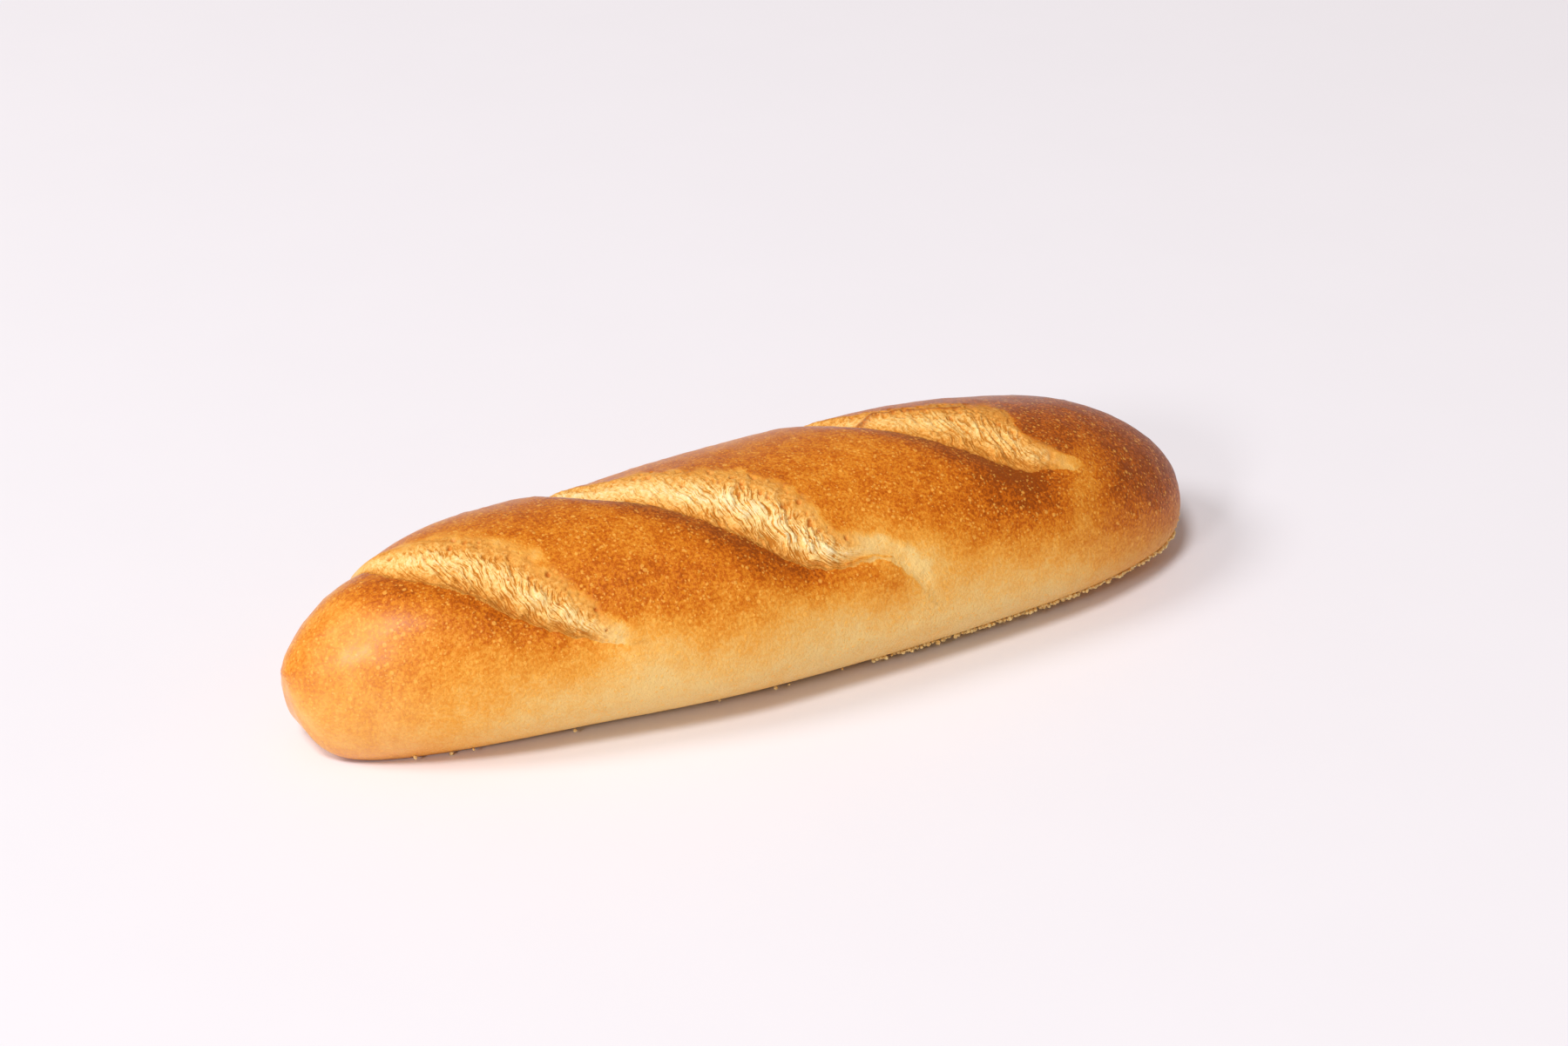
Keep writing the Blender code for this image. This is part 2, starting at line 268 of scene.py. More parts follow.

# Places that are baked paler or browner than that; the last is a painted highlight, paler where
# the lamps' highlight falls on the pointed end
BAKED_PATCHES_AND_HIGHLIGHT = (
    Patch(x=-0.036, g=0.036, height=-0.16, reach=0.008),
    Patch(x=0.023, g=0.0315, height=-0.34, reach=0.0055),
    Patch(x=0.014, g=0.0255, height=-0.22, reach=0.006),
    Patch(x=0.0700, g=0.0165, height=-0.14, reach=0.0055),
    Patch(x=0.0655, g=0.0215, height=-0.22, reach=0.0055),
    Patch(x=0.0620, g=0.0285, height=-0.18, reach=0.0060),
    Patch(x=0.0490, g=0.0240, height=0.09, reach=0.0090),
    Patch(x=-0.0220, g=0.0330, height=0.09, reach=0.0100),
    Patch(x=-0.0810, g=0.0075, height=0.08, reach=0.0060),
    Patch(x=0.013, g=0.0360, height=0.22, reach=0.007),
    # painted highlight: paler where the lamps' highlight falls on the pointed end
    Patch(x=-0.089, g=0.0116, height=-0.14, reach=0.0055),
)

# The mesh: a box of quads, finer on the crust and finest in the slashes, drawn onto the loaf
RINGS = 96
SIDES = 20
CAP_SHARE = 0.13
CAP_POWER = 9
LIP_PULL = 0.0006
FINER_BELOW = 0.76
FINEST_DOME, FINEST_TORN, FINEST_SINK = 0.0012, 1.25, 0.0003

# The relief fades out over this much of u above the base's edge
EDGE_EASE = 0.15

# The attributes that the torn crumb gives to the material: its own share, its paleness with
# painted light and shade, its pores, its place along and across the slope, and how much it is drawn
# out to hairs
TORN_SHARES = ("crumb", "strand", "pore", "along", "over", "hair")

# Grains of semolina along the base's edge, in heaps: their sizes, how squashed they are, how far
# they stand off the crust, stray and stay clear of the floor, where they lie in t on the near side,
# and how far towards the tips the others go
GRAIN_SIZE = 0.00048
GRAIN_SIZES = (0.6, 1.25)
GRAIN_SQUASH = (0.7, 1.0)
GRAIN_STANDS, GRAIN_STRAYS, GRAIN_CLEAR = 0.8, 0.3, 1.05
GRAIN_SEED = 11
FULL_TURN = 6.28
NEAR_GRAINS = 230
NEAR_START, NEAR_END = (0.10, 0.30), (0.97, 0.88)
OTHER_GRAINS = 30
OTHER_END = (0.94, 0.80)
GRAIN_HEAP = 0.0028
HEAP_EDGE, BETWEEN_HEAPS = (-0.05, 0.35), 0.08

# They lie where the flank turns under: pairs of t and u, with a spread in u
GRAIN_LINE = (
    (-1.0, 0.740),
    (-0.5, 0.726),
    (0.0, 0.714),
    (0.4, 0.706),
    (0.6, 0.694),
    (0.75, 0.679),
    (0.92, 0.625),
)
GRAIN_BAND = 0.010

# The camera: its turn and height in degrees, and what it looks at
CAMERA_TURN, CAMERA_RISE = 29.58, 28.0
CAMERA_TARGET = Vector((0.0106, 0.00684, 0.02))
CAMERA_DISTANCE = 0.7495
CAMERA_LENS = 85.0

# Soft lamps, with their direction from the loaf: to the camera's right, away from it and up
Lamp = namedtuple("Lamp", "name right away up distance size watts colour")
LAMPS = (
    Lamp("key_lamp", -0.72, -0.18, 0.67, 4.2, 1.5, 65.0, (0.99, 0.985, 1.0)),
    Lamp("front_lamp", -0.46, -0.78, 0.42, 4.2, 0.75, 40.5, (0.99, 0.985, 1.0)),
    Lamp("high_lamp", -0.22, -0.50, 0.84, 4.2, 1.05, 90.0, (0.98, 0.985, 1.0)),
)
SKY_COLOUR = (1.0, 0.88, 0.82, 1.0)
SKY_STRENGTH = 0.32

# The floor is a wide disk, with two nearly equal colours
FLOOR_SIZE = 6.0
FLOOR_COLOUR = (0.890, 0.870, 0.910, 1.0)
FLOOR_COLOUR_TOO = (0.896, 0.876, 0.916, 1.0)


# The loaf's form


def by_end(t, name):
    """The value of one of the ends' numbers at t: the pointed end's below 0, the blunt end's above."""
    return np.where(t < 0, getattr(POINTED_END, name), getattr(BLUNT_END, name))


def rounded(share):
    """Eases a share from 0 to 1 so that it leaves 0 as a circle leaves its edge."""
    full = np.sqrt(1 + 2 * CROWN_ROUNDING)
    return np.sqrt(share * share + 2 * CROWN_ROUNDING * share) / full


def section(t):
    """Half width, and the heights of crown, widest point and base, of the section at t."""
    reach = np.clip(np.abs(t), 0, 1)
    plan = (1 - reach ** by_end(t, "plan")) ** (1 / by_end(t, "plan_root"))
    crown = (1 - reach ** by_end(t, "crown")) ** (1 / by_end(t, "crown_root"))
    blunter = np.clip(0.5 + TIP_BLEND * t, 0, 1)
    tip = POINTED_END.tip + (BLUNT_END.tip - POINTED_END.tip) * blunter
    top = tip + (HEIGHT - tip) * rounded(crown)
    base = tip * (1 - (1 - reach**BASE_POWER) ** (1 / BASE_ROOT))
    widest = base + WIDEST_SHARE * (top - base)
    return WIDTH / 2 * plan, top, widest, base


def girth(t):
    """Length of crust from the ridge to the middle of the base, for the crust laid flat."""
    half, top, widest, _ = section(t)
    return np.pi * (half + top - widest) / 2


def on_loaf(t, u, side):
    """Points of the smooth loaf; side is -1 or 1 for the -Y or +Y half."""
    half, top, widest, base = section(t)
    angle = np.clip(u / WIDEST, 0, 1) * np.pi / 2
    down = np.clip((u - WIDEST) / (BASE_EDGE - WIDEST), 0, 1)
    under = np.clip((u - BASE_EDGE) / (1 - BASE_EDGE), 0, 1)
    tuck = BASE_TUCK + MORE_TUCK * np.exp(-(((t - MORE_TUCK_AT) / MORE_TUCK_REACH) ** 2))
    y = half * np.sin(angle) * (1 - tuck * down**TUCK_POWER) * (1 - under)
    above = widest + (top - widest) * np.cos(angle)
    below = widest + (base - widest) * down
    lift = BASE_LIFT * np.clip((t - LIFT_FROM) / (LIFT_FULL - LIFT_FROM), 0, LIFT_MOST) ** 2
    z = np.where(u <= WIDEST, above, below) + lift
    return np.stack([t * LENGTH / 2, side * y + BOW * (1 - t * t), z], axis=-1)


def lip_points(slash):
    """The lip's points as rows of x, g, torn and sink: a smooth curve through its own points."""
    own = np.array(slash)
    own = np.vstack([2 * own[0] - own[1], own, 2 * own[-1] - own[-2]])
    s = np.linspace(0, 1, LIP_STEPS, endpoint=False)[:, None]
    runs = []
    for before, here, there, after in zip(own, own[1:], own[2:], own[3:]):
        runs.append(here + s * (there - before) / 2)
        runs[-1] += s**2 * (2 * before - 5 * here + 4 * there - after) / 2
        runs[-1] += s**3 * (3 * here - before - 3 * there + after) / 2
    return np.vstack(runs + [own[-2:-1]])


def beside_lip(slash, x, g):
    """What flat points are to a slash, as a dictionary.

    run is the distance along the lip, inside tells whether that is between its ends, across is the
    distance from it, plus on the torn side, torn and sink are the lip's there, and heading is the
    direction it runs in.
    """
    lip = lip_points(slash)
    steps = np.diff(lip, axis=0)
    lengths = np.linalg.norm(steps[:, :2], axis=1)
    starts = np.concatenate([[0], np.cumsum(lengths)])
    flat = np.stack([x, g], axis=-1)
    best = np.full(x.shape, np.inf)
    found = {name: np.zeros(x.shape) for name in ("run", "across", "torn", "sink")}
    heading = np.zeros(flat.shape)
    for i, (corner, change, length) in enumerate(zip(lip, steps, lengths)):
        away = flat - corner[:2]
        way = change[:2] / length
        low = -np.inf if i == 0 else 0
        high = np.inf if i == len(steps) - 1 else 1
        held = np.clip(away @ way / length, low, high)
        miss = np.linalg.norm(away - held[..., None] * change[:2], axis=-1)
        side = np.where(away[..., 0] * way[1] < away[..., 1] * way[0], -miss, miss)
        nearer = miss < best
        best = np.where(nearer, miss, best)
        share = np.clip(held, 0, 1)
        torn, sink = (corner[n] + share * change[n] for n in (2, 3))
        for name, value in zip(found, (starts[i] + held * length, side, torn, sink)):
            found[name] = np.where(nearer, value, found[name])
        heading = np.where(nearer[..., None], way, heading)
    inside = (found["run"] > 0) & (found["run"] < starts[-1])
    return {**found, "heading": heading, "inside": inside}


def slash_depth(beside):
    """How far the crust sinks beside a lip: domed on one side, a drop and a torn slope on the other."""
    across, sink = beside["across"], beside["sink"]
    dome = np.clip(1 + across / DOME_REACH, 0, 1) ** DOME_POWER
    drop = 1 + DROP_SHARE * np.clip(across / DROP_WIDTH, 0, 1)
    floor = drop * np.clip(1 - across / beside["torn"], 0, 1) ** FLOOR_POWER
    return beside["inside"] * sink * np.where(across < 0, dome, floor)


# Noise, steps and shares


def noise_of(places):
    """Smooth noise, about -1 to 1, one bump to each unit."""
    return np.array([noise.noise(Vector(place)) for place in places])


def cells_of(places):
    """Distance to the nearest of points scattered one to a unit cube, and that point's random share."""
    found = [noise.voronoi(Vector(place)) for place in places]
    distance = np.array([distances[0] for distances, _ in found])
    share = np.array([noise.cell(points[0] * 91.7 + Vector((0.5, 0.5, 0.5))) for _, points in found])
    return distance, (share + 1) / 2 % 1


def step(value, low, high):
    """Eases from 0 at low to 1 at high; low may be the larger."""
    share = np.clip((value - low) / (high - low), 0, 1)
    return share * share * (3 - 2 * share)


# The fine relief, and where each finish shows


def strand_ridges(lean, size, change, seed):
    """Sharp ridges about size apart, 1 along each ridge, wandering with change across the slope."""
    rows = np.stack([lean / size, change, np.full(len(lean), seed)], axis=-1)
    return 1 - STRAND_SHARPNESS * np.abs(noise_of(rows))


def bubble_share(points, share, stringy, tear, seed):
    """Where the torn crumb has a closed bubble."""
    hollow, kind = cells_of(points / BUBBLE_SPACING + 7.1 * seed)
    fewer = 1 - STRINGY_FEWER * stringy * step(share, *STRINGY_BELOW)
    return tear.bubbles * step(hollow, *BUBBLE_EDGE) * (BUBBLE_LEAST + (1 - BUBBLE_LEAST) * kind) * fewer


def pore_share(points, share, wanted, loose, tear, seed):
    """Where the torn crumb has an open pore; wanted is where it may have one."""
    distance, chance = cells_of(points / PORE_SPACING + 0.3 + seed)
    band = step(share, *PORE_BAND_START) * step(share, *PORE_BAND_END)
    likely = tear.pores * np.maximum(band, PORES_BELOW * (share > PORES_BELOW_FROM)) * wanted
    radius = PORE_RADIUS + PORE_RADIUS_MORE * chance / max(tear.pores, 0.1) + PORE_RAGGED * loose
    return step(distance, radius, radius * PORE_RIM) * (chance < likely)


def torn_relief(points, beside, tear, seed):
    """Height of the torn crumb above the floor, and its shares for the material."""
    across = beside["across"]
    share = across / beside["torn"]
    inner = np.clip(share, 0, 1)
    grown = beside["inside"] * step(beside["sink"], *CRUMB_SINK)
    ragged = RAGGED * noise_of(points / RAGGED_SIZE) + RAGGED_TOO * noise_of(points / RAGGED_TOO_SIZE)
    crumb = step(share + ragged, *CRUMB_END) * step(across, *CRUMB_START) * grown

    warp = STRAND_WARP * noise_of(points / STRAND_WARP_SIZE)
    lean = beside["run"] - STRAND_SHEAR * (1 - inner) * (1 - STRAND_BEND * inner) + warp
    coarse = strand_ridges(lean, COARSE_STRAND, inner * COARSE_CHANGE, 3.7 * seed)
    fine = strand_ridges(lean, FINE_STRAND, inner * FINE_CHANGE, 3.7 * seed + 9)
    clump = step(noise_of(points / CLUMP_SIZE + 5.3), -CLUMP_EDGE, CLUMP_EDGE)
    begun = step(beside["run"] - tear.strands_from, 0, STRANDS_GROW)
    deep = step(beside["sink"], *SHALLOW_SINK)
    stringy = tear.strands * (STRANDS_LEAST + (1 - STRANDS_LEAST) * begun)
    stringy = stringy * (SHALLOW_STRANDS + (1 - SHALLOW_STRANDS) * deep)
    hump = np.sin(np.pi * np.clip(STRANDS_ACROSS_START + STRANDS_ACROSS * inner, 0, 1)) ** STRANDS_ROUNDING
    body = stringy * hump * (CLUMP_LEAST + (1 - CLUMP_LEAST) * clump)

    loose = noise_of(points / CRUMB_SIZE)
    bubble = bubble_share(points, share, stringy, tear, seed)
    pore = pore_share(points, share, (across > 0) * grown, loose, tear, seed)
    relief = body * (COARSE_HEIGHT * coarse + FINE_HEIGHT * fine) + CRUMB_HEIGHT * loose
    height = crumb * (relief - BUBBLE_DEPTH * bubble) - PORE_DEPTH * pore

    # painted light and shade: the crumb is paler on strand ridges and loose crumbs and darker in bubbles
    tone = CRUMB_TONE + (COARSE_RIDGE_SHADING * coarse + FINE_RIDGE_SHADING * fine) * body
    tone = tear.pale * np.clip(tone + LOOSE_CRUMB_SHADING * loose - BUBBLE_PAINTED_SHADE * bubble, 0, 1)
    # real browning up the slope, and painted shade in the fold under the lip
    browning_and_fold_shade = BROWNER_UP * step(share, *BROWNER_UP_FROM) + FOLD_PAINTED_SHADE * step(share, *FOLD_PAINTED_SHADE_FROM)
    hair = np.clip(stringy, 0, 1) * step(share, *HAIR_END)
    shares = {"crumb": crumb, "strand": tone * (1 - browning_and_fold_shade), "pore": pore}
    return height, {**shares, "along": lean, "over": share, "hair": hair}


def crust_relief(points):
    """Height of the wrinkles and blisters of the whole crust."""
    finer = noise_of(points / WRINKLE_SIZE * FINER_WRINKLES)
    wrinkle = noise_of(points / WRINKLE_SIZE) + FINER_WRINKLE_SHARE * finer
    distance, chance = cells_of(points / BLISTER_SPACING)
    blister = step(distance, *BLISTER_EDGE) * (chance > BLISTERS_MISSING)
    return WRINKLE_HEIGHT * wrinkle + BLISTER_HEIGHT * blister


def crack_share(x, g, points):
    """How close flat points are to a crack, which wanders a little and is as wide as its sink says."""
    found = np.zeros(x.shape)
    wander = CRACK_WANDER * noise_of(points / CRACK_WANDER_SIZE)
    for crack in CRACKS:
        beside = beside_lip(crack, x, g)
        width = np.maximum(beside["sink"], CRACK_LEAST_WIDTH)
        near = np.exp(-(((beside["across"] + wander) / width) ** 2)) * beside["inside"]
        found = np.maximum(found, near)
    return found


def spread(places, x, g):
    """The sum of soft round places on the flat crust."""
    total = np.zeros(x.shape)
    for place in places:
        away = ((x - place.x) ** 2 + (g - place.g) ** 2) / place.reach**2
        total += place.height * np.exp(-away)
    return total


def baked_share_with_painted_light(t, u, x, g, points):
    """How dark the crust is away from the slashes, from 0 (pale) to 1 (dark): its browning, with painted
    shade at the blunt end and a painted highlight at the pointed end.
    """
    ends = step(np.abs(t), *BOTH_ENDS)
    blunt = step(t, *BLUNT_END_PART)
    # painted shade: the blunt end's part darkens flank and top, partly browner crust and partly the shade
    # of the end turned away from the lamps
    flank = FLANK_BAKE + FLANK_AT_ENDS * ends + FLANK_AT_BLUNT_END * blunt
    top = TOP_BAKE + TOP_AT_BLUNT_END * blunt - TOP_AT_POINTED_END * step(t, *POINTED_END_PART)
    wavy = u + TOP_WAVE * noise_of(points / TOP_WAVE_SIZE)
    level = flank + (top - flank) * step(wavy, TOP_FROM + TOP_FROM_AT_ENDS * ends, TOP_FULL)
    level += UNDERCUT_BAKE * step(u, *UNDERCUT)
    level += BASE_BAKE * step(u, *BASE_PART) * step(np.abs(t), *BASE_TIPS)
    return level + spread(BAKED_PATCHES_AND_HIGHLIGHT, x, g) + BAKE_CLOUDS * noise_of(points / BAKE_CLOUD_SIZE)


def lip_bake_and_shade(points, beside, tear, crumb):
    """How much darker the crust is on a lip, browner and with painted shade, and paler on the torn side."""
    across, sink = beside["across"], beside["sink"]
    # painted shade: the dome darkens towards the lip, partly browner crust and partly the shade of the dome
    # bending away from the lamps
    browned = step(across, *LIP_DARKENING) * (across < 0) * step(sink, *LIP_DARKENING_SINK)
    frayed = across / beside["torn"] + FRAYING * noise_of(points / FRAYING_SIZE)
    paler = step(frayed, tear.fade, PALE_FULL) * (across > 0) * step(sink, *PALE_SINK)
    return tear.browned * browned - (PALER_CRUMB + PALER_CRUST * (1 - crumb)) * paler


def gloss_share(t, u, g):
    """How glossy the crust is, from 0 to 1."""
    near = step(t, *GLOSSY_END) * (RIDGE_GLOSS + (1 - RIDGE_GLOSS) * step(u, *GLOSSY_BELOW))
    far = FAR_GLOSS * step(g, *FAR_SIDE) * step(t, *FAR_END)
    return LEAST_GLOSS + (1 - LEAST_GLOSS) * np.maximum(near, far)


def surface_of(t, u, side, points):
    """Height off the smooth loaf and the material's attributes, at each point of the crust."""
    x, g = flat_of(t, u, side)
    swell = noise_of(points / SWELL_SIZE + np.array(SWELL_SEED))
    height = SWELL_HEIGHT * swell + spread(BULGES, x, g)
    fine_height = crust_relief(points)
    bake = baked_share_with_painted_light(t, u, x, g, points)
    shares = {name: np.zeros(len(points)) for name in TORN_SHARES}
    for seed, (slash, tear) in enumerate(zip(SLASHES, TEARS)):
        beside = beside_lip(slash, x, g)
        beside["across"] = beside["across"] + LIP_WANDER * noise_of(points / LIP_WANDER_SIZE)
        height = height - slash_depth(beside)
        near = beside["inside"] & (beside["across"] > -DOME_REACH) & (beside["across"] < 2 * beside["torn"])
        near_lip = {name: values[near] for name, values in beside.items()}
        relief, torn = torn_relief(points[near], near_lip, tear, seed)
        for name, share in torn.items():
            shares[name][near] = np.where(near_lip["across"] > 0, share, shares[name][near])
        fine_height[near] = fine_height[near] * (1 - torn["crumb"]) + relief
        bake[near] += lip_bake_and_shade(points[near], near_lip, tear, torn["crumb"])
    cracked = crack_share(x, g, points)
    fine_height += CRACK_HEIGHT * cracked
    shares["bake"] = bake + CRACK_BROWNING * cracked
    shares["crumb"] *= 1 - CRACK_CLEARS * cracked
    shares["gloss"] = gloss_share(t, u, g) * (1 - shares["crumb"])
    free = np.clip((BASE_EDGE - u) / EDGE_EASE, 0, 1)
    return free * (height + fine_height), shares


# The mesh


def box_coordinates(points):
    """The loaf's t, u and side of points on a box that reaches from -1 to 1."""
    x, y, z = points.T
    rim = np.maximum(np.maximum(np.abs(y), np.abs(z)), 1e-9)
    tau = x * (1 - CAP_SHARE * rim)
    t = (tau - tau**CAP_POWER / CAP_POWER) * CAP_POWER / (CAP_POWER - 1)
    across, up = np.abs(y) / rim, z / rim
    flank = WIDEST - (BASE_EDGE - WIDEST) * up
    top, under = across * WIDEST / 2, 1 - across * (1 - BASE_EDGE)
    u = np.where(across >= np.abs(up), flank, np.where(up > 0, top, under))
    return t, u, np.where(y > 0, 1.0, -1.0)


def flat_of(t, u, side):
    """The place on the flat crust: x along the loaf, g from the ridge, plus to the near side."""
    return t * LENGTH / 2, -side * u * girth(t)


def drawn_to_lips(x, g):
    """Flat points near a lip moved closer to it, so that the mesh follows its crease."""
    for slash in SLASHES:
        beside = beside_lip(slash, x, g)
        pull = np.clip(1 - np.abs(beside["across"]) / LIP_PULL, 0, 1) * beside["inside"]
        shift = pull * beside["across"]
        x = x - shift * beside["heading"][:, 1]
        g = g + shift * beside["heading"][:, 0]
    return x, g


def face_places(bm):
    """The loaf's t, u and side of each face's middle."""
    middles = np.array([f.calc_center_median() for f in bm.faces])
    return box_coordinates(middles)


def in_slash(x, g):
    """Whether flat points lie where a slash needs the finest mesh."""
    found = np.zeros(x.shape, bool)
    for slash in SLASHES:
        beside = beside_lip(slash, x, g)
        near = (beside["across"] > -FINEST_DOME) & (beside["across"] < FINEST_TORN * beside["torn"])
        found |= near & beside["inside"] & (beside["sink"] > FINEST_SINK)
    return found


def cut_finer(bm, chosen):
    """Cuts the chosen faces into four."""
    edges = {e for f, inside in zip(bm.faces, chosen) if inside for e in f.edges}
    bmesh.ops.subdivide_edges(bm, edges=list(edges), cuts=1, use_grid_fill=True)


def box_of_quads(bm):
    """A box from -1 to 1 whose sides are grids, finer on the crust and finest in the slashes."""
    bmesh.ops.create_cube(bm, size=2)
    lengthwise = [e for e in bm.edges if abs(e.verts[0].co.x - e.verts[1].co.x) > 1]
    bmesh.ops.subdivide_edges(bm, edges=lengthwise, cuts=RINGS - 1, use_grid_fill=True)
    crosswise = [e for e in bm.edges if abs(e.verts[0].co.x - e.verts[1].co.x) < 1e-6]
    bmesh.ops.subdivide_edges(bm, edges=crosswise, cuts=SIDES - 1, use_grid_fill=True)
    cut_finer(bm, face_places(bm)[1] < FINER_BELOW)
    for _ in range(2):
        cut_finer(bm, in_slash(*flat_of(*face_places(bm))))


def draw_onto_loaf(bm):
    """Moves the box's points onto the loaf with its relief, and gives the attributes."""
    t, u, side = box_coordinates(np.array([v.co for v in bm.verts]))
    x, g = flat_of(t, u, side)
    nearer_x, nearer_g = drawn_to_lips(x, g)
    moved = (nearer_x != x) | (nearer_g != g)
    t = np.where(moved, nearer_x / (LENGTH / 2), t)
    side = np.where(moved, np.where(nearer_g > 0, -1.0, 1.0), side)
    u = np.where(moved, np.abs(nearer_g) / girth(t), u)
    points = on_loaf(t, u, side)
    for vert, point in zip(bm.verts, points):
        vert.co = point
    bm.normal_update()
    normals = np.array([v.normal for v in bm.verts])
    height, shares = surface_of(t, u, side, points)
    points += normals * height[:, None]
    for vert, point in zip(bm.verts, fitted(points)):
        vert.co = point
    return shares, t, u, side


def fitted(points):
    """The points moved and scaled so that they fill the solid's own box."""
    low, high = points.min(axis=0), points.max(axis=0)
    box_low, box_high = np.array(cad_box[0]), np.array(cad_box[1])
    scale = (box_high - box_low) / (high - low)
    return box_low + (points - low) * scale


def make_crust():
    """The whole surface as one piece; gives it back with its points' t and u."""
    bm = bmesh.new()
    box_of_quads(bm)
    shares, t, u, side = draw_onto_loaf(bm)
    mesh = bpy.data.meshes.new("baked_crust")
    bm.to_mesh(mesh)
    bm.free()
    mesh.shade_smooth()
    for name, values in shares.items():
        mesh.attributes.new(name, "FLOAT", "POINT").data.foreach_set("value", values.astype(np.float32))
    crust = bpy.data.objects.new("baked_crust", mesh)
    bpy.context.scene.collection.objects.link(crust)
    crust.data.materials.append(crust_material())
    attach(crust, "root")
    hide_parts("hoagie_roll")
    return crust, t, u * side


def grain_spots(t, around, draw):
    """The crust's points that hold a grain: mostly along the near edge of the base, to the blunt end."""
    above = np.interp(t, *np.array(GRAIN_LINE).T) - np.abs(around)
    edge = np.exp(-((above / GRAIN_BAND) ** 2))
    heaped = noise_of(np.stack([t * LENGTH / 2 / GRAIN_HEAP, 0 * t, 0 * t], axis=-1))
    near = edge * (around < 0) * step(t, *NEAR_START) * step(t, *NEAR_END)
    near = near * (BETWEEN_HEAPS + step(heaped, *HEAP_EDGE))
    other = edge * step(np.abs(t), *OTHER_END)
    spots = list(draw.choice(len(t), NEAR_GRAINS, replace=False, p=near / near.sum()))
    return spots + list(draw.choice(len(t), OTHER_GRAINS, replace=False, p=other / other.sum()))


def make_grains(crust, t, around):
    """Grains of semolina stuck to the crust where it meets the base."""
    draw = np.random.default_rng(GRAIN_SEED)
    floor_height = cad_box[0][2]
    bm = bmesh.new()
    for spot in grain_spots(t, around, draw):
        vert = crust.data.vertices[spot]
        size = GRAIN_SIZE * draw.uniform(*GRAIN_SIZES)
        stray = Vector(draw.normal(size=3)) * size * GRAIN_STRAYS
        centre = vert.co + vert.normal * size * GRAIN_STANDS + stray
        centre.z = max(centre.z, floor_height + size * GRAIN_CLEAR)
        turn = Matrix.Rotation(draw.uniform(0, FULL_TURN), 4, Vector(draw.normal(size=3)).normalized())
        squash = Matrix.Diagonal((draw.uniform(*GRAIN_SQUASH), draw.uniform(*GRAIN_SQUASH), 1.0, 1.0))
        bmesh.ops.create_icosphere(
            bm, subdivisions=1, radius=size, matrix=Matrix.Translation(centre) @ turn @ squash
        )
    mesh = bpy.data.meshes.new("semolina_grains")
    bm.to_mesh(mesh)
    bm.free()
    mesh.materials.append(semolina_material())
    grains = bpy.data.objects.new("semolina_grains", mesh)
    bpy.context.scene.collection.objects.link(grains)
    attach(grains, "root")
    return grains


# Materials


def linear(red, green, blue):
    """A colour given as it shows on a screen, 0 to 255, in linear light."""
    share = np.array([red, green, blue]) / 255
    light = np.where(share <= 0.04045, share / 12.92, ((share + 0.055) / 1.055) ** 2.4)
    return (*map(float, light), 1.0)


def add_node(tree, kind, place, **values):
    """A node with its settings, and its sockets' values where a name is a socket's."""
    made = tree.nodes.new(kind)
    made.location = place
    for name, value in values.items():
        if hasattr(made, name):
            setattr(made, name, value)
        else:
            made.inputs[name.replace("_", " ")].default_value = value
    return made


def math_node(tree, place, operation, *values):
    """A Math node; the values are sockets or numbers."""
    made = add_node(tree, "ShaderNodeMath", place, operation=operation)
    for socket, value in zip(made.inputs, values):
        if isinstance(value, (int, float)):
            socket.default_value = value
        else:
            tree.links.new(value, socket)
    return made.outputs[0]


def range_node(tree, place, value, low, high, to_low=0.0, to_high=1.0):
    """A Map Range node that eases from one pair of values to the other."""
    made = add_node(tree, "ShaderNodeMapRange", place, interpolation_type="SMOOTHSTEP")
    tree.links.new(value, made.inputs["Value"])
    made.inputs["From Min"].default_value = low
    made.inputs["From Max"].default_value = high
    made.inputs["To Min"].default_value = to_low
    made.inputs["To Max"].default_value = to_high
    return made.outputs["Result"]


def mix_colours(tree, place, share, first, second):
    """A Mix node of two colours, each a socket or a colour."""
    made = add_node(tree, "ShaderNodeMix", place, data_type="RGBA")
    tree.links.new(share, made.inputs["Factor"])
    for socket, value in ((made.inputs[6], first), (made.inputs[7], second)):
        if isinstance(value, tuple):
            socket.default_value = value
        else:
            tree.links.new(value, socket)
    return made.outputs[2]


def ramp_node(tree, place, share, stops):
    """A Color Ramp with stops of (share, colour)."""
    made = add_node(tree, "ShaderNodeValToRGB", place)
    elements = made.color_ramp.elements
    while len(elements) < len(stops):
        elements.new(0.5)
    for element, (position, colour) in zip(elements, stops):
        element.position = position
        element.color = colour
    tree.links.new(share, made.inputs[0])
    return made.outputs[0]


def attribute_of(tree, place, name):
    """One of the mesh's attributes, as a share."""
    return add_node(tree, "ShaderNodeAttribute", place, attribute_name=name).outputs["Fac"]


